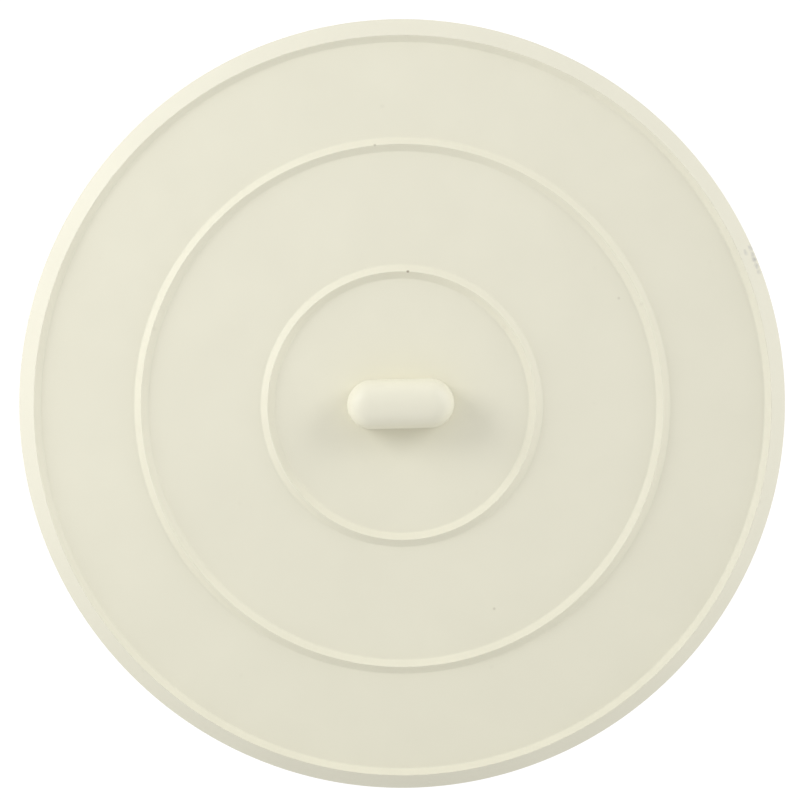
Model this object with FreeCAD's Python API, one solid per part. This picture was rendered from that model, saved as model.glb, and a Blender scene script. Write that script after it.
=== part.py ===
import FreeCAD, Part
import math
import os

# Flat drain stopper: a soft round disc and a bar-shaped pull. The pull's stem goes through the disc's hub,
# and a slotted washer underneath snaps into the stem's groove and keeps it there.
# Millimetres. Origin at the middle of the sealing plane underneath, +Z up, +X along the pull's bar.

# Disc, from above
disc_diameter = 127.0
web_thickness = 2.6
edge_height = 1.8              # upright edge, from the sealing plane to the bevel
bevel_width = 2.55             # in plan, from the edge in to the rim's crest
rim_height = 0.88              # crest above the web
rim_slope_width = 1.03         # in plan, from the crest in to the web
rib_height = 0.88
rib_width = 2.3                # across both feet
crest_width = 0.1              # narrow flat on top of the rim and of each rib
rib_place_shares = (0.3486, 0.6787)  # rib radii, of the disc's radius

# Disc, from below
seal_height = 0.8              # sealing rings below the web
seal_width = 3.2               # across both feet
seal_face_width = 1.2
rim_face_width = 5.0           # sealing face under the edge
rim_face_slope = 0.8           # in plan, from that face up to the web
hub_wall = 2.0                 # round the washer's pocket

# Pull
bar_length = 17.4
bar_width = 7.9
bar_height = 8.0               # top above the web
crown_share = 1.52             # radius of its crowned top, of half the width
shoulder_share = 0.81          # radius between the crown and the upright sides, of half the width
foot_flare = 0.2               # foot curves out to the web all round
foot_edge = 0.1                # upright edge of that foot
stem_diameter = 5.0
groove_depth = 0.5
lip_height = 0.5               # end of the stem, below the washer
lip_chamfer = 0.2

# Washer
washer_diameter = 12.0
washer_thickness = 0.7
slot_width = 0.6               # slots that let its fingers bend over the lip
slot_depth = 1.4
slot_count = 4

# Clearances
bore_clearance = 0.05          # radial, stem in the disc
groove_clearance = 0.05        # radial, washer on the groove
axial_play = 0.05              # at each face that turns on another
pocket_clearance = 0.5         # radial, washer in its pocket
end_recess = 0.2               # stem's end above the sealing plane
cut_overrun = 1.0

# Levels, upwards from the sealing plane
web_bottom = seal_height
web_top = web_bottom + web_thickness
lip_top = end_recess + lip_height
pocket_top = lip_top + axial_play + washer_thickness + axial_play
bar_bottom = web_top + axial_play
bar_top = web_top + bar_height
flare_bottom = bar_bottom + foot_edge
flare_top = flare_bottom + foot_flare

# Radii
disc_radius = disc_diameter / 2
stem_radius = stem_diameter / 2
bore_radius = stem_radius + bore_clearance
groove_radius = stem_radius - groove_depth
bar_radius = bar_width / 2
foot_radius = bar_radius + foot_flare
washer_radius = washer_diameter / 2
washer_bore_radius = groove_radius + groove_clearance
pocket_radius = washer_radius + pocket_clearance
hub_radius = pocket_radius + hub_wall

# Section of the bar: its crown runs smoothly into its shoulders
crown_radius = crown_share * bar_radius
shoulder_radius = shoulder_share * bar_radius
shoulder_inset = bar_radius - shoulder_radius
crown_half_angle = math.asin(shoulder_inset / (crown_radius - shoulder_radius))
crown_centre = bar_top - crown_radius
shoulder_centre = crown_centre + (crown_radius - shoulder_radius) * math.cos(crown_half_angle)

ORIGIN = FreeCAD.Vector(0, 0, 0)
Z_AXIS = FreeCAD.Vector(0, 0, 1)
FULL_TURN = 360
HALF_TURN = FULL_TURN / 2


def section_point(along, height):
    return FreeCAD.Vector(along, 0, height)


def line(start, end):
    return Part.LineSegment(section_point(*start), section_point(*end)).toShape()


def arc(start, middle, end):
    return Part.Arc(section_point(*start), section_point(*middle), section_point(*end)).toShape()


def chain(points):
    return [line(start, end) for start, end in zip(points, points[1:])]


def turned(edges):
    """Solid that a closed section in the XZ plane sweeps in one full turn round the Z axis."""
    section = Part.Face(Part.Wire(edges))
    return section.revolve(ORIGIN, Z_AXIS, FULL_TURN)


def ridge(radius, width, top_width, foot, top):
    """Section of a ring with sloping sides, from its outer foot to its inner foot."""
    return [
        (radius + width / 2, foot),
        (radius + top_width / 2, top),
        (radius - top_width / 2, top),
        (radius - width / 2, foot),
    ]


def stopper_disc():
    rim_crest = web_top + rim_height
    crest_outer = disc_radius - bevel_width
    crest_inner = crest_outer - crest_width
    rim_face_inner = disc_radius - rim_face_width
    rib_radii = [share * disc_radius for share in rib_place_shares]

    outer_edge = [
        (disc_radius, 0),
        (disc_radius, edge_height),
        (crest_outer, rim_crest),
        (crest_inner, rim_crest),
        (crest_inner - rim_slope_width, web_top),
    ]
    upper_ribs = []
    for radius in reversed(rib_radii):
        upper_ribs += ridge(radius, rib_width, crest_width, web_top, web_top + rib_height)
    hub = [
        (bore_radius, web_top),
        (bore_radius, pocket_top),
        (pocket_radius, pocket_top),
        (pocket_radius, 0),
        (hub_radius, 0),
        (hub_radius, web_bottom),
    ]
    lower_seals = []
    for radius in rib_radii:
        lower_seals += reversed(ridge(radius, seal_width, seal_face_width, web_bottom, 0))
    rim_face = [
        (rim_face_inner - rim_face_slope, web_bottom),
        (rim_face_inner, 0),
    ]
    outline = outer_edge + upper_ribs + hub + lower_seals + rim_face
    return turned(chain(outline + outline[:1]))


def pull_stem():
    """Grooved stem, from its lip below the washer up into the bar."""
    outline = [
        (0, flare_top),
        (0, end_recess),
        (stem_radius - lip_chamfer, end_recess),
        (stem_radius, end_recess + lip_chamfer),
        (stem_radius, lip_top),
        (groove_radius, lip_top),
        (groove_radius, pocket_top),
        (stem_radius, pocket_top),
        (stem_radius, flare_top),
    ]
    return turned(chain(outline + outline[:1]))


def around(radius, along, height, angle):
    """Point of a section's arc round that centre, by its angle from the upright."""
    return (along + radius * math.sin(angle), height + radius * math.cos(angle))


def bar_half_section():
    """Half of the bar's section: crown, shoulder, upright side and flared foot."""
    quarter = math.pi / 2
    crown_middle = around(crown_radius, 0, crown_centre, crown_half_angle / 2)
    crown_end = around(crown_radius, 0, crown_centre, crown_half_angle)
    shoulder_turn = (crown_half_angle + quarter) / 2
    shoulder_middle = around(shoulder_radius, shoulder_inset, shoulder_centre, shoulder_turn)
    shoulder_end = (bar_radius, shoulder_centre)
    flare_start = (bar_radius, flare_top)
    flare_middle = around(foot_flare, foot_radius, flare_top, -quarter - quarter / 2)
    foot = [
        (foot_radius, flare_bottom),
        (foot_radius, bar_bottom),
        (0, bar_bottom),
        (0, bar_top),
    ]
    edges = [
        arc(foot[-1], crown_middle, crown_end),
        arc(crown_end, shoulder_middle, shoulder_end),
        line(shoulder_end, flare_start),
        arc(flare_start, flare_middle, foot[0]),
    ]
    return Part.Face(Part.Wire(edges + chain(foot)))


def pull_bar():
    """Bar along X that stands on the web, half-round at both ends in plan."""
    end_place = (bar_length - bar_width) / 2
    pieces = []
    for side in (1, -1):
        end = bar_half_section().revolve(ORIGIN, Z_AXIS, HALF_TURN)
        end.rotate(ORIGIN, Z_AXIS, -side * HALF_TURN / 2)
        end.translate(FreeCAD.Vector(side * end_place, 0, 0))
        half_section = bar_half_section()
        half_section.rotate(ORIGIN, Z_AXIS, side * HALF_TURN / 2)
        half_section.translate(FreeCAD.Vector(-end_place, 0, 0))
        pieces += [end, half_section.extrude(FreeCAD.Vector(2 * end_place, 0, 0))]
    return pieces[0].fuse(pieces[1:])


def pull_handle():
    return pull_stem().fuse(pull_bar()).removeSplitter()


def retaining_washer():
    bottom = FreeCAD.Vector(0, 0, lip_top + axial_play)
    below = FreeCAD.Vector(0, 0, bottom.z - cut_overrun)
    cut_height = washer_thickness + 2 * cut_overrun
    slot_reach = washer_bore_radius + slot_depth

    washer = Part.makeCylinder(washer_radius, washer_thickness, bottom)
    openings = [Part.makeCylinder(washer_bore_radius, cut_height, below)]
    for index in range(slot_count):
        slot = Part.makeBox(slot_reach, slot_width, cut_height, below - FreeCAD.Vector(0, slot_width / 2, 0))
        slot.rotate(ORIGIN, Z_AXIS, index * FULL_TURN / slot_count)
        openings.append(slot)
    return washer.cut(openings)


sub_parts = {
    "stopper_disc": stopper_disc(),
    "pull_handle": pull_handle(),
    "retaining_washer": retaining_washer(),
}

os.makedirs("parts", exist_ok=True)
for name, shape in sub_parts.items():
    shape.exportStep("parts/" + name + ".step")
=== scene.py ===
import math

import bmesh
import bpy
import numpy as np
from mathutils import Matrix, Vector


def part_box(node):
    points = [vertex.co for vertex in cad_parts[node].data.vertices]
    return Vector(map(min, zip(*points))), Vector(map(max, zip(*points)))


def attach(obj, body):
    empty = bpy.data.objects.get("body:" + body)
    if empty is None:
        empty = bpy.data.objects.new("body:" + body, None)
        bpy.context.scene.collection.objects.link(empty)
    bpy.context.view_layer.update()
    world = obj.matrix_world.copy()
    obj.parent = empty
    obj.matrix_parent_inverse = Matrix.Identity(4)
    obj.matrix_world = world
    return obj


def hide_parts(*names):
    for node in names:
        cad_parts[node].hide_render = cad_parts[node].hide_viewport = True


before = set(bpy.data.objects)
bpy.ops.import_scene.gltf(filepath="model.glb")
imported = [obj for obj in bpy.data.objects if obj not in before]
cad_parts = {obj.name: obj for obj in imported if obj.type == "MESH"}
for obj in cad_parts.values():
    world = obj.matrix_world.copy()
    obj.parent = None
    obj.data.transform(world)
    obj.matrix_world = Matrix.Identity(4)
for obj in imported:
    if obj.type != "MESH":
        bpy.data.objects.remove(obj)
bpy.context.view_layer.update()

# A cream rubber drain stopper with a bar pull, seen from straight above. Metres throughout.

# Disc, from above
_, disc_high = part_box("stopper_disc")
DISC_RADIUS = disc_high.x
RIB_TOP = disc_high.z
RIB_HEIGHT = 0.00088
WEB_TOP = RIB_TOP - RIB_HEIGHT
RIM_HEIGHT = 0.00088
RIM_TOP = WEB_TOP + RIM_HEIGHT
RIB_WIDTH = 0.0023
CREST_WIDTH = 0.00006
RIB_PLACE_SHARES = (0.3486, 0.6787)
BEVEL_WIDTH = 0.00255
EDGE_HEIGHT = 0.0018
RIM_SLOPE_WIDTH = 0.00103

# Disc, from below
WEB_BOTTOM = 0.0008
SEAL_WIDTH = 0.0032
SEAL_FACE_WIDTH = 0.0012
RIM_FACE_WIDTH = 0.005
RIM_FACE_SLOPE = 0.0008
BORE_RADIUS = 0.00255
POCKET_RADIUS = 0.0065
POCKET_TOP = 0.0015
HUB_RADIUS = 0.0085

# How the moulding is rounded and how its mesh is divided
CREST_ROUNDING = 0.00007
FOOT_ROUNDING = 0.0004
EDGE_ROUNDING = 0.00015
ARC_STEP_DEGREES = 10
FEWEST_ARC_STEPS = 3
SUPPORT_GAP = 0.00012
SHORTEST_DIVIDED_RUN = 0.00048
LONGEST_SPAN = 0.0012
DISC_SEGMENTS = 300
WELD_DISTANCE = 0.0000001

# Small faults of a soft moulding that was trimmed by hand
OVALITY_SHARE = 0.0021
EDGE_OVALITY_SHARE = 0.002
RIM_SHIFT = Vector((0.00018, 0.0001))
TRIM_SHIFT = Vector((-0.0001, 0.00027))
WARP_LIFT = 0.00012
WARP_MEAN_SHARE = 0.5
WARP_WAVES = ((2, 0.7, 0.3), (3, 2.1, 0.2))  # waves round the disc, their phase and their share

# Pull
pull_low, pull_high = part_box("pull_handle")
BAR_TOP = pull_high.z
BAR_LENGTH = 0.0174
BAR_WIDTH = 0.0079
BAR_SHIFT = Vector((-0.00015, 0.0003))
CROWN_SHARE = 1.52
SHOULDER_SHARE = 0.81
FOOT_FLARE = 0.0002
FOOT_EDGE = 0.0001
FOOT_PLAY = 0.00005
STEM_RADIUS = 0.0025
STEM_END = pull_low.z
GROOVE_RADIUS = 0.002
LIP_TOP = 0.0007
LIP_CHAMFER = 0.0002
PULL_STEP_DEGREES = 3
FEWEST_PULL_STEPS = 2
HALF_TURN_DEGREES = 180

# Washer
WASHER_BEVEL = 0.00008
WASHER_BEVEL_SEGMENTS = 2

# Colours, linear
RUBBER_LIGHT = (0.809, 0.785, 0.644)
RUBBER_DARK = (0.791, 0.767, 0.628)
PLASTIC_LIGHT = (0.823, 0.799, 0.658)
PLASTIC_DARK = (0.811, 0.787, 0.646)
NYLON_LIGHT = (0.83, 0.82, 0.76)
NYLON_DARK = (0.80, 0.79, 0.72)
# Painted shade: this tint darkens the rim's bevel and outer edge.
BEVEL_SHADE_TINT = (0.945, 0.945, 0.955)
# Painted shade: this tint darkens the rubber, and makes it a touch yellower, towards the disc's lower side,
# where the light falls off.
LOWER_SIDE_SHADE_TINT = (0.972, 0.972, 0.958)
SPECK_COLOUR = (0.30, 0.25, 0.17)
SCUFF_COLOUR = (0.40, 0.40, 0.39)
FLOOR_COLOUR = (0.1, 0.1, 0.1)
WHITE = (1, 1, 1, 1)

# Finish
RUBBER_ROUGHNESS = (0.52, 0.64)
PLASTIC_ROUGHNESS = 0.45
NYLON_ROUGHNESS = 0.35
FLOOR_ROUGHNESS = 0.9
FLOOR_GLOW = 0.96

# Clouds and grain; scales are waves per metre
NOISE_RANGE = (0.3, 0.7)       # values between which most of a noise lies
NOISE_MIDDLE = (0.5, 0.5, 0.5)
RUBBER_CLOUD_SCALE = 90
RUBBER_CLOUD_DETAIL = 3
MATTE_SCALE = 360
PLASTIC_CLOUD_SCALE = 270
NYLON_CLOUD_SCALE = 720
FINE_CLOUD_DETAIL = 2
GRAIN_SCALE = 2600
GRAIN_DETAIL = 4
GRAIN_DEPTH = 0.00002
RUBBER_GRAIN_SHARE = 0.25
PLASTIC_GRAIN_SHARE = 0.1
# The direction of the side that gets the painted shade.
SHADED_SIDE = (0.05, -1, 0)

# Specks and rubbed marks: each mark's place and the share of its colour there
MARK_CORE_SHARE = 1 / 3        # of a mark's reach, where it is deepest
SPECK_SPACING = 0.02
SPECK_RADIUS = 0.0005
SPECK_UNSEEN_SHARE = 0.4
SPECK_DEPTH_SHARE = 0.1
SPECK_REACH = 0.00032
SPECK_MARKS = (
    ((0.0016, 0.0221, RIB_TOP), 0.85),
    ((-0.0033, 0.0431, RIB_TOP), 0.42),
    ((0.0144, -0.0339, WEB_TOP), 0.29),
    ((0.0363, 0.0168, WEB_TOP), 0.23),
)
SCUFF_MARKS = (
    ((0.0583, 0.0245, 0.0021), 0.5),
    ((0.0573, 0.0238, 0.0032), 0.38),
    ((0.0585, 0.0235, 0.0022), 0.6),
    ((0.0588, 0.0226, 0.0023), 0.9),
    ((0.0591, 0.0216, 0.0023), 0.55),
    ((0.0595, 0.0206, 0.0023), 0.35),
)
SCUFF_REACH = 0.0007
SCUFF_PUSH = 0.0009
SCUFF_SCALE = 1300
SCUFF_DETAIL = 3
SCUFF_NOISE_RANGE = (0.3, 0.55)
SCUFF_FAINTEST_SHARE = 0.6

# Camera, placed by the photograph's pixels
IMAGE_SIDE_PX = 800
OUTLINE_RADIUS_PX = 383.7
AXIS_PX = (401.5, 405.7)
BAR_TILT_DEGREES = 1.5
CAMERA_HEIGHT = 0.65
SENSOR_WIDTH = 0.036
MM_PER_METRE = 1000

# Floor and light: each light's azimuth, elevation, distance, width, height and radiance
FLOOR_SIDE = 6.0
FLOOR_GAP = 0.00002
LIGHTS = {
    "left_key": (150, 33, 0.5, 0.231, 0.231, 4.57),
    "left_side": (165, 22, 0.6, 0.56, 0.169, 0.96),
    "left_low": (170, 11, 0.6, 0.84, 0.212, 1.2),
    "right_key": (30, 33, 1.5, 0.693, 0.693, 3.22),
    "right_low": (15, 10, 1.5, 1.732, 0.529, 1.6),
    "front_high": (280, 50, 1.2, 1.386, 0.643, 0.25),
    "front_low": (270, 15, 1.2, 2.4, 0.643, 0.29),
}
ROOM_RADIANCE = 0.582


def rounded(corners):
    """Closed outline of (radius, height) points, with each (radius, height, rounding) corner as an arc."""
    points = np.array([corner[:2] for corner in corners])
    outline = []
    for index, (_, _, rounding) in enumerate(corners):
        here = points[index]
        back = points[index - 1] - here
        ahead = points[(index + 1) % len(points)] - here
        back = back / np.linalg.norm(back)
        ahead = ahead / np.linalg.norm(ahead)
        half_angle = math.acos(float(np.clip(back @ ahead, -1, 1))) / 2
        bisector = (back + ahead) / np.linalg.norm(back + ahead)
        centre = here + bisector * rounding / math.sin(half_angle)
        reach = rounding / math.tan(half_angle)
        start = here + back * reach - centre
        end = here + ahead * reach - centre
        turn = math.pi - 2 * half_angle
        steps = max(FEWEST_ARC_STEPS, math.ceil(math.degrees(turn) / ARC_STEP_DEGREES))
        for step in range(steps + 1):
            share = step / steps
            arm = start * math.sin((1 - share) * turn) + end * math.sin(share * turn)
            outline.append(centre + arm / math.sin(turn))
    return outline


def divided(outline):
    """The same open outline with extra points on its straight runs, close to their ends and along them."""
    points = []
    for here, after in zip(outline, outline[1:]):
        points.append(here)
        run = np.linalg.norm(after - here)
        if run < SHORTEST_DIVIDED_RUN:
            continue
        support_share = SUPPORT_GAP / run
        middle_parts = max(1, math.ceil((run - 2 * SUPPORT_GAP) / LONGEST_SPAN))
        for share in np.linspace(support_share, 1 - support_share, middle_parts + 1):
            points.append(here + (after - here) * share)
    return np.array(points + outline[-1:])


def ridge(radius, width, top_width, foot, top):
    """Corners of a ring with sloping sides, from its outer foot to its inner foot."""
    return [
        (radius + width / 2, foot, FOOT_ROUNDING),
        (radius + top_width / 2, top, CREST_ROUNDING),
        (radius - top_width / 2, top, CREST_ROUNDING),
        (radius - width / 2, foot, FOOT_ROUNDING),
    ]


def disc_outline():
    crest_outer = DISC_RADIUS - BEVEL_WIDTH
    crest_inner = crest_outer - CREST_WIDTH
    rim_face_inner = DISC_RADIUS - RIM_FACE_WIDTH
    rib_radii = [share * DISC_RADIUS for share in RIB_PLACE_SHARES]
    corners = [
        (DISC_RADIUS, 0, EDGE_ROUNDING),
        (DISC_RADIUS, EDGE_HEIGHT, EDGE_ROUNDING),
        (crest_outer, RIM_TOP, CREST_ROUNDING),
        (crest_inner, RIM_TOP, CREST_ROUNDING),
        (crest_inner - RIM_SLOPE_WIDTH, WEB_TOP, FOOT_ROUNDING),
    ]
    for radius in reversed(rib_radii):
        corners += ridge(radius, RIB_WIDTH, CREST_WIDTH, WEB_TOP, RIB_TOP)
    corners += [
        (BORE_RADIUS, WEB_TOP, EDGE_ROUNDING),
        (BORE_RADIUS, POCKET_TOP, EDGE_ROUNDING),
        (POCKET_RADIUS, POCKET_TOP, EDGE_ROUNDING),
        (POCKET_RADIUS, 0, EDGE_ROUNDING),
        (HUB_RADIUS, 0, EDGE_ROUNDING),
        (HUB_RADIUS, WEB_BOTTOM, EDGE_ROUNDING),
    ]
    for radius in rib_radii:
        corners += reversed(ridge(radius, SEAL_WIDTH, SEAL_FACE_WIDTH, WEB_BOTTOM, 0))
    corners += [
        (rim_face_inner - RIM_FACE_SLOPE, WEB_BOTTOM, FOOT_ROUNDING),
        (rim_face_inner, 0, FOOT_ROUNDING),
    ]
    outline = rounded(corners)
    return divided(outline + outline[:1])[:-1]


def soft_moulding(points):
    """Moves a true disc's points as a soft one lies: slightly oval, warped and trimmed off centre."""
    radius = np.hypot(points[:, 0], points[:, 1])
    angle = np.arctan2(points[:, 1], points[:, 0])
    crest_radius = DISC_RADIUS - BEVEL_WIDTH
    trimmed = np.clip((radius - crest_radius) / BEVEL_WIDTH, 0, 1)
    far_out = (radius / DISC_RADIUS) ** 2
    oval = OVALITY_SHARE * far_out ** 2 + (EDGE_OVALITY_SHARE - OVALITY_SHARE) * trimmed
    moved = points.copy()
    moved[:, 0] = points[:, 0] * (1 - oval) + far_out * RIM_SHIFT.x + trimmed * TRIM_SHIFT.x
    moved[:, 1] = points[:, 1] * (1 + oval) + far_out * RIM_SHIFT.y + trimmed * TRIM_SHIFT.y
    wave = WARP_MEAN_SHARE
    for count, phase, share in WARP_WAVES:
        wave = wave + share * np.sin(count * angle + phase)
    moved[:, 2] += WARP_LIFT * far_out * wave
    return moved


def new_object(name, vertices, faces):
    mesh = bpy.data.meshes.new(name)
    mesh.from_pydata([tuple(vertex) for vertex in vertices], [], faces)
    mesh.polygons.foreach_set("use_smooth", [True] * len(mesh.polygons))
    mesh.update()
    made = bpy.data.objects.new(name, mesh)
    bpy.context.scene.collection.objects.link(made)
    return made


def mark_bevel(piece, radii):
    """Gives each point a value that goes from zero to one across the rim's crest."""
    crest_inner = DISC_RADIUS - BEVEL_WIDTH - CREST_WIDTH
    mark = piece.data.attributes.new("bevel", "FLOAT", "POINT")
    mark.data.foreach_set("value", np.clip((radii - crest_inner) / CREST_WIDTH, 0, 1).astype(np.float32))


def stopper_disc():
    outline = disc_outline()
    count = len(outline)
    angles = np.arange(DISC_SEGMENTS) * 2 * math.pi / DISC_SEGMENTS
    vertices = np.stack(
        [
            np.outer(np.cos(angles), outline[:, 0]).ravel(),
            np.outer(np.sin(angles), outline[:, 0]).ravel(),
            np.tile(outline[:, 1], DISC_SEGMENTS),
        ],
        axis=1,
    )
    faces = []
    for segment in range(DISC_SEGMENTS):
        here = segment * count
        beside = (segment + 1) % DISC_SEGMENTS * count
        for index in range(count):
            after = (index + 1) % count
            faces.append((here + index, here + after, beside + after, beside + index))
    made = new_object("rubber_disc", soft_moulding(vertices), [face[::-1] for face in faces])
    mark_bevel(made, np.hypot(vertices[:, 0], vertices[:, 1]))
    return made


def applied(piece):
    """Puts the piece's modifiers into its mesh."""
    graph = bpy.context.evaluated_depsgraph_get()
    mesh = bpy.data.meshes.new_from_object(piece.evaluated_get(graph))
    piece.modifiers.clear()
    piece.data = mesh
    mesh.polygons.foreach_set("use_smooth", [True] * len(mesh.polygons))
    return piece


def welded(piece):
    """The same piece with its doubled points joined and its faces looking out."""
    shape = bmesh.new()
    shape.from_mesh(piece.data)
    bmesh.ops.remove_doubles(shape, verts=shape.verts, dist=WELD_DISTANCE)
    bmesh.ops.recalc_face_normals(shape, faces=shape.faces)
    shape.to_mesh(piece.data)
    shape.free()
    return piece


def copied_node(node, name):
    """A new piece with a welded copy of a node's mesh."""
    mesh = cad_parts[node].data.copy()
    mesh.name = name
    mesh.materials.clear()
    made = bpy.data.objects.new(name, mesh)
    bpy.context.scene.collection.objects.link(made)
    return welded(made)


def arc(middle, radius, start, end):
    """Points round that middle, by their angles from the upright."""
    steps = max(FEWEST_PULL_STEPS, math.ceil(math.degrees(abs(end - start)) / PULL_STEP_DEGREES))
    angles = np.linspace(start, end, steps + 1)
    return [np.array((middle[0] + radius * math.sin(a), middle[1] + radius * math.cos(a))) for a in angles]


def bar_outline():
    """Half of the bar's section from its crown down to its foot."""
    half_width = BAR_WIDTH / 2
    crown_radius = CROWN_SHARE * half_width
    shoulder_radius = SHOULDER_SHARE * half_width
    inset = half_width - shoulder_radius
    crown_angle = math.asin(inset / (crown_radius - shoulder_radius))
    crown_middle = (0, BAR_TOP - crown_radius)
    shoulder_middle = (inset, crown_middle[1] + (crown_radius - shoulder_radius) * math.cos(crown_angle))
    foot_radius = half_width + FOOT_FLARE
    foot_bottom = WEB_TOP + FOOT_PLAY
    flare_middle = (foot_radius, foot_bottom + FOOT_EDGE + FOOT_FLARE)
    crown = arc(crown_middle, crown_radius, 0, crown_angle)
    shoulder = arc(shoulder_middle, shoulder_radius, crown_angle, math.pi / 2)
    flare = arc(flare_middle, FOOT_FLARE, -math.pi / 2, -math.pi)
    return divided(crown[:-1] + shoulder + flare + [np.array((foot_radius, foot_bottom))])


def stem_outline():
    """Half of the stem's section from the bar down to its end."""
    corners = [
        (STEM_RADIUS, WEB_TOP + FOOT_PLAY),
        (STEM_RADIUS, POCKET_TOP),
        (GROOVE_RADIUS, POCKET_TOP),
        (GROOVE_RADIUS, LIP_TOP),
        (STEM_RADIUS, LIP_TOP),
        (STEM_RADIUS, STEM_END + LIP_CHAMFER),
        (STEM_RADIUS - LIP_CHAMFER, STEM_END),
        (0, STEM_END),
    ]
    return divided([np.array(corner) for corner in corners])


def pull_handle():
    """Rings of points down the bar, drawn out along X as far as its round ends, and down its stem."""
    end_place = (BAR_LENGTH - BAR_WIDTH) / 2
    rings = [(BAR_SHIFT, end_place, *point) for point in bar_outline()]
    rings += [(Vector((0, 0)), 0, *point) for point in stem_outline()]
    end_steps = math.ceil(HALF_TURN_DEGREES / PULL_STEP_DEGREES)
    half_turn = np.linspace(-math.pi / 2, math.pi / 2, end_steps + 1)
    count = 2 * len(half_turn)
    vertices = []
    faces = []
    for index, (shift, reach, radius, height) in enumerate(rings):
        for side in (1, -1):
            for angle in half_turn:
                x = shift.x + side * (reach + radius * math.cos(angle))
                vertices.append((x, shift.y + side * radius * math.sin(angle), height))
        if index:
            for place in range(count):
                above = (index - 1) * count
                beside = (place + 1) % count
                faces.append((above + place, above + count + place, above + count + beside, above + beside))
    return welded(new_object("bar_pull", vertices, faces))


def retaining_washer():
    piece = copied_node("retaining_washer", "push_on_washer")
    bevel = piece.modifiers.new("soft_edges", "BEVEL")
    bevel.width = WASHER_BEVEL
    bevel.segments = WASHER_BEVEL_SEGMENTS
    bevel.limit_method = "ANGLE"
    return applied(piece)


def shader(name):
    """A new material, its node tree and its surface shader."""
    material = bpy.data.materials.new(name)
    material.use_nodes = True
    tree = material.node_tree
    return material, tree, tree.nodes["Principled BSDF"]


def noise(tree, place, scale, detail):
    made = tree.nodes.new("ShaderNodeTexNoise")
    made.inputs["Scale"].default_value = scale
    made.inputs["Detail"].default_value = detail
    tree.links.new(place, made.inputs["Vector"])
    return made.outputs["Fac"]


def between(tree, value, start, end, low, high):
    """A value that goes from low to high while the given one goes from start to end."""
    made = tree.nodes.new("ShaderNodeMapRange")
    for socket, number in (("From Min", start), ("From Max", end), ("To Min", low), ("To Max", high)):
        made.inputs[socket].default_value = number
    tree.links.new(value, made.inputs["Value"])
    return made.outputs["Result"]


def ramp(tree, factor, low_colour, high_colour):
    made = tree.nodes.new("ShaderNodeValToRGB")
    for stop, position, colour in zip(made.color_ramp.elements, NOISE_RANGE, (low_colour, high_colour)):
        stop.position = position
        stop.color = (*colour, 1)
    tree.links.new(factor, made.inputs["Fac"])
    return made.outputs["Color"]


def stained(tree, amount, under, colour, blend="MIX"):
    """The colour under it, turned into the given one by that amount."""
    made = tree.nodes.new("ShaderNodeMix")
    made.data_type = "RGBA"
    made.blend_type = blend
    made.inputs["B"].default_value = (*colour, 1)
    tree.links.new(amount, made.inputs["Factor"])
    tree.links.new(under, made.inputs["A"])
    return made.outputs["Result"]


def tinted(tree, amount, under, tint):
    """The colour under it, multiplied by a tint by that amount."""
    return stained(tree, amount, under, tint, "MULTIPLY")


def both(tree, first, second):
    made = tree.nodes.new("ShaderNodeMath")
    made.operation = "MULTIPLY"
    tree.links.new(first, made.inputs[0])
    tree.links.new(second, made.inputs[1])
    return made.outputs["Value"]


def grain(tree, place, surface, strength):
    """A fine uneven skin on the surface."""
    made = tree.nodes.new("ShaderNodeBump")
    made.inputs["Strength"].default_value = strength
    made.inputs["Distance"].default_value = GRAIN_DEPTH
    tree.links.new(noise(tree, place, GRAIN_SCALE, GRAIN_DETAIL), made.inputs["Height"])
    tree.links.new(made.outputs["Normal"], surface.inputs["Normal"])


def specks(tree, place):
    """Faint specks, by their distance from scattered points, each with a depth of its own."""
    cells = tree.nodes.new("ShaderNodeTexVoronoi")
    cells.voronoi_dimensions = "2D"
    cells.inputs["Scale"].default_value = 1 / SPECK_SPACING
    tree.links.new(place, cells.inputs["Vector"])
    size = SPECK_RADIUS / SPECK_SPACING
    spots = between(tree, cells.outputs["Distance"], 0, size, 1, 0)
    chance = tree.nodes.new("ShaderNodeSeparateColor")
    tree.links.new(cells.outputs["Color"], chance.inputs["Color"])
    depth = between(tree, chance.outputs["Red"], SPECK_UNSEEN_SHARE, 1, 0, SPECK_DEPTH_SHARE)
    return both(tree, spots, depth)


def bevel_shade_mask(tree):
    """One on the bevel and the edge, zero inside the rim's crest: where the bevel's painted shade goes."""
    made = tree.nodes.new("ShaderNodeAttribute")
    made.attribute_name = "bevel"
    return made.outputs["Fac"]


def shaded_side_share(tree, place):
    """From zero at the disc's middle to one at the edge of its lower side, where painted shade darkens the
    rubber.
    """
    along = tree.nodes.new("ShaderNodeVectorMath")
    along.operation = "DOT_PRODUCT"
    along.inputs[1].default_value = SHADED_SIDE
    tree.links.new(place, along.inputs[0])
    return between(tree, along.outputs["Value"], 0, DISC_RADIUS, 0, 1)


def nearness(tree, place, middle, reach, depth):
    """That depth close to a point, falling to zero at its reach."""
    away = tree.nodes.new("ShaderNodeVectorMath")
    away.operation = "DISTANCE"
    away.inputs[1].default_value = middle
    tree.links.new(place, away.inputs[0])
    return between(tree, away.outputs["Value"], MARK_CORE_SHARE * reach, reach, depth, 0)


def ragged(tree, place):
    """The same place pushed about a little, so that marks round a point get uneven outlines."""
    push = tree.nodes.new("ShaderNodeTexNoise")
    push.inputs["Scale"].default_value = SCUFF_SCALE
    tree.links.new(place, push.inputs["Vector"])
    centred = tree.nodes.new("ShaderNodeVectorMath")
    centred.operation = "SUBTRACT"
    centred.inputs[1].default_value = NOISE_MIDDLE
    tree.links.new(push.outputs["Color"], centred.inputs[0])
    moved = tree.nodes.new("ShaderNodeVectorMath")
    moved.operation = "MULTIPLY_ADD"
    moved.inputs[1].default_value = (SCUFF_PUSH, SCUFF_PUSH, SCUFF_PUSH)
    tree.links.new(centred.outputs["Vector"], moved.inputs[0])
    tree.links.new(place, moved.inputs[2])
    return moved.outputs["Vector"]


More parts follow.
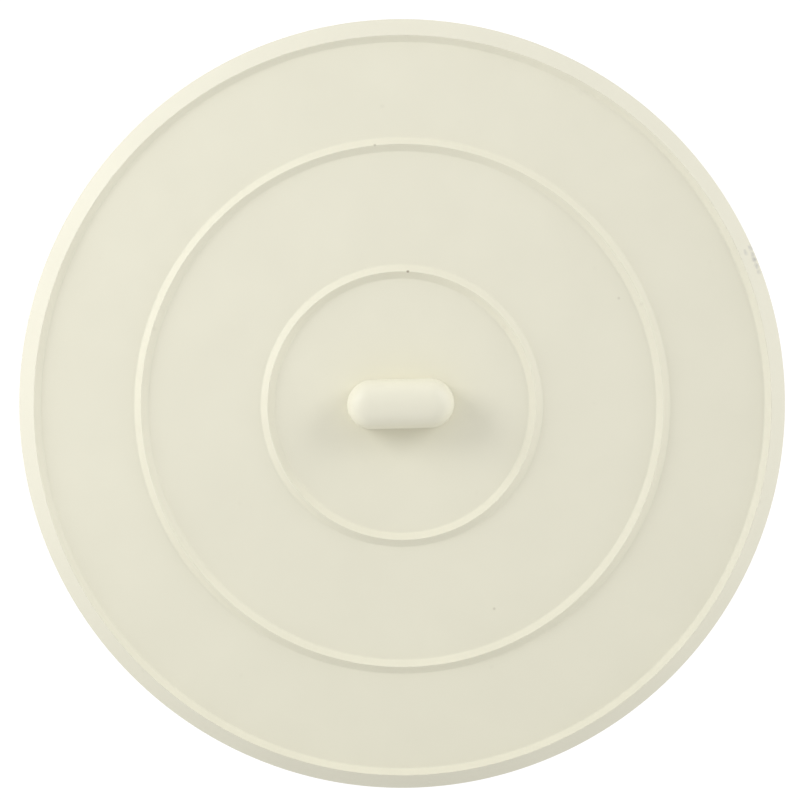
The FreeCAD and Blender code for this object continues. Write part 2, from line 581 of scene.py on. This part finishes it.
def marks_at(tree, place, marks, reach):
    """Marks of those depths round their points, each fading out at its reach."""
    spots = [nearness(tree, place, middle, reach, depth) for middle, depth in marks]
    deepest = spots[0]
    for spot in spots[1:]:
        joined = tree.nodes.new("ShaderNodeMath")
        joined.operation = "MAXIMUM"
        tree.links.new(deepest, joined.inputs[0])
        tree.links.new(spot, joined.inputs[1])
        deepest = joined.outputs["Value"]
    return deepest


def scuff(tree, place):
    """Grey rubbed marks on one stretch of the bevel."""
    marks = marks_at(tree, ragged(tree, place), SCUFF_MARKS, SCUFF_REACH)
    uneven = noise(tree, place, SCUFF_SCALE, SCUFF_DETAIL)
    smear = between(tree, uneven, *SCUFF_NOISE_RANGE, SCUFF_FAINTEST_SHARE, 1)
    return both(tree, marks, smear)


def rubber_material():
    """Faintly cloudy cream rubber with painted shade, darker and a touch yellower towards its lower side
    and darker on the bevel, and with specks and rubbed marks.
    """
    material, tree, surface = shader("cream_rubber")
    place = tree.nodes.new("ShaderNodeTexCoord").outputs["Object"]
    clouds = noise(tree, place, RUBBER_CLOUD_SCALE, RUBBER_CLOUD_DETAIL)
    cloudy = ramp(tree, clouds, RUBBER_DARK, RUBBER_LIGHT)
    # Painted shade towards the disc's lower side.
    side_shaded = tinted(tree, shaded_side_share(tree, place), cloudy, LOWER_SIDE_SHADE_TINT)
    # Painted shade on the bevel and outer edge.
    bevel_shaded = tinted(tree, bevel_shade_mask(tree), side_shaded, BEVEL_SHADE_TINT)
    dusty = stained(tree, specks(tree, place), bevel_shaded, SPECK_COLOUR)
    specked = stained(tree, marks_at(tree, place, SPECK_MARKS, SPECK_REACH), dusty, SPECK_COLOUR)
    scuffed = stained(tree, scuff(tree, place), specked, SCUFF_COLOUR)
    tree.links.new(scuffed, surface.inputs["Base Color"])
    patches = noise(tree, place, MATTE_SCALE, FINE_CLOUD_DETAIL)
    matte = between(tree, patches, *NOISE_RANGE, *RUBBER_ROUGHNESS)
    tree.links.new(matte, surface.inputs["Roughness"])
    grain(tree, place, surface, RUBBER_GRAIN_SHARE)
    return material


def plastic_material():
    """The same cream, a little smoother."""
    material, tree, surface = shader("cream_plastic")
    place = tree.nodes.new("ShaderNodeTexCoord").outputs["Object"]
    clouds = noise(tree, place, PLASTIC_CLOUD_SCALE, FINE_CLOUD_DETAIL)
    tree.links.new(ramp(tree, clouds, PLASTIC_DARK, PLASTIC_LIGHT), surface.inputs["Base Color"])
    surface.inputs["Roughness"].default_value = PLASTIC_ROUGHNESS
    grain(tree, place, surface, PLASTIC_GRAIN_SHARE)
    return material


def nylon_material():
    """Milky nylon, smooth and faintly cloudy."""
    material, tree, surface = shader("milky_nylon")
    place = tree.nodes.new("ShaderNodeTexCoord").outputs["Object"]
    clouds = noise(tree, place, NYLON_CLOUD_SCALE, FINE_CLOUD_DETAIL)
    tree.links.new(ramp(tree, clouds, NYLON_DARK, NYLON_LIGHT), surface.inputs["Base Color"])
    surface.inputs["Roughness"].default_value = NYLON_ROUGHNESS
    return material


def floor_material():
    """White paper that glows a little, and that doesn't hide the part from a view below it."""
    material, tree, surface = shader("white_floor")
    surface.inputs["Base Color"].default_value = (*FLOOR_COLOUR, 1)
    surface.inputs["Roughness"].default_value = FLOOR_ROUGHNESS
    surface.inputs["Emission Color"].default_value = WHITE
    surface.inputs["Emission Strength"].default_value = FLOOR_GLOW
    side = tree.nodes.new("ShaderNodeNewGeometry")
    clear = tree.nodes.new("ShaderNodeBsdfTransparent")
    seen = tree.nodes.new("ShaderNodeMixShader")
    tree.links.new(side.outputs["Backfacing"], seen.inputs["Fac"])
    tree.links.new(surface.outputs["BSDF"], seen.inputs[1])
    tree.links.new(clear.outputs["BSDF"], seen.inputs[2])
    tree.links.new(seen.outputs["Shader"], tree.nodes["Material Output"].inputs["Surface"])
    return material


def dress(piece, material, node, body):
    piece.data.materials.clear()
    piece.data.materials.append(material)
    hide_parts(node)
    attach(piece, body)


def floor():
    half = FLOOR_SIDE / 2
    corners = [(x, y, -FLOOR_GAP) for x, y in ((-half, -half), (half, -half), (half, half), (-half, half))]
    made = new_object("floor", corners, [(0, 1, 2, 3)])
    made.data.materials.append(floor_material())


def camera():
    """Straight above, with the disc's axis and outline at the photograph's pixels."""
    edge_distance = CAMERA_HEIGHT - EDGE_HEIGHT
    px_per_metre = OUTLINE_RADIUS_PX * edge_distance / (DISC_RADIUS * CAMERA_HEIGHT)
    half_field = IMAGE_SIDE_PX / 2 / px_per_metre
    data = bpy.data.cameras.new("camera")
    data.sensor_width = SENSOR_WIDTH * MM_PER_METRE
    data.lens = data.sensor_width / 2 * CAMERA_HEIGHT / half_field
    made = bpy.data.objects.new("camera", data)
    centre = IMAGE_SIDE_PX / 2
    made.location = (
        (centre - AXIS_PX[0]) / px_per_metre,
        (AXIS_PX[1] - centre) / px_per_metre,
        CAMERA_HEIGHT,
    )
    made.rotation_euler.z = -math.radians(BAR_TILT_DEGREES)
    bpy.context.scene.collection.objects.link(made)
    bpy.context.scene.camera = made


def softbox(name, azimuth, elevation, distance, width, height, radiance):
    """A rectangle of light at that place round the disc, facing it."""
    data = bpy.data.lights.new(name, "AREA")
    data.shape = "RECTANGLE"
    data.size = width
    data.size_y = height
    data.energy = radiance * math.pi * width * height
    made = bpy.data.objects.new(name, data)
    level = distance * math.cos(math.radians(elevation))
    made.location = (
        level * math.cos(math.radians(azimuth)),
        level * math.sin(math.radians(azimuth)),
        distance * math.sin(math.radians(elevation)),
    )
    made.rotation_euler = (-made.location).to_track_quat("-Z", "Y").to_euler()
    made.visible_camera = False
    bpy.context.scene.collection.objects.link(made)


def studio():
    for name, setting in LIGHTS.items():
        softbox(name, *setting)
    world = bpy.data.worlds.new("studio")
    world.use_nodes = True
    room = world.node_tree.nodes["Background"]
    room.inputs["Color"].default_value = WHITE
    room.inputs["Strength"].default_value = ROOM_RADIANCE
    bpy.context.scene.world = world
    bpy.context.scene.view_settings.view_transform = "Standard"


dress(stopper_disc(), rubber_material(), "stopper_disc", "disc")
dress(pull_handle(), plastic_material(), "pull_handle", "pull")
dress(retaining_washer(), nylon_material(), "retaining_washer", "pull")
floor()
camera()
studio()
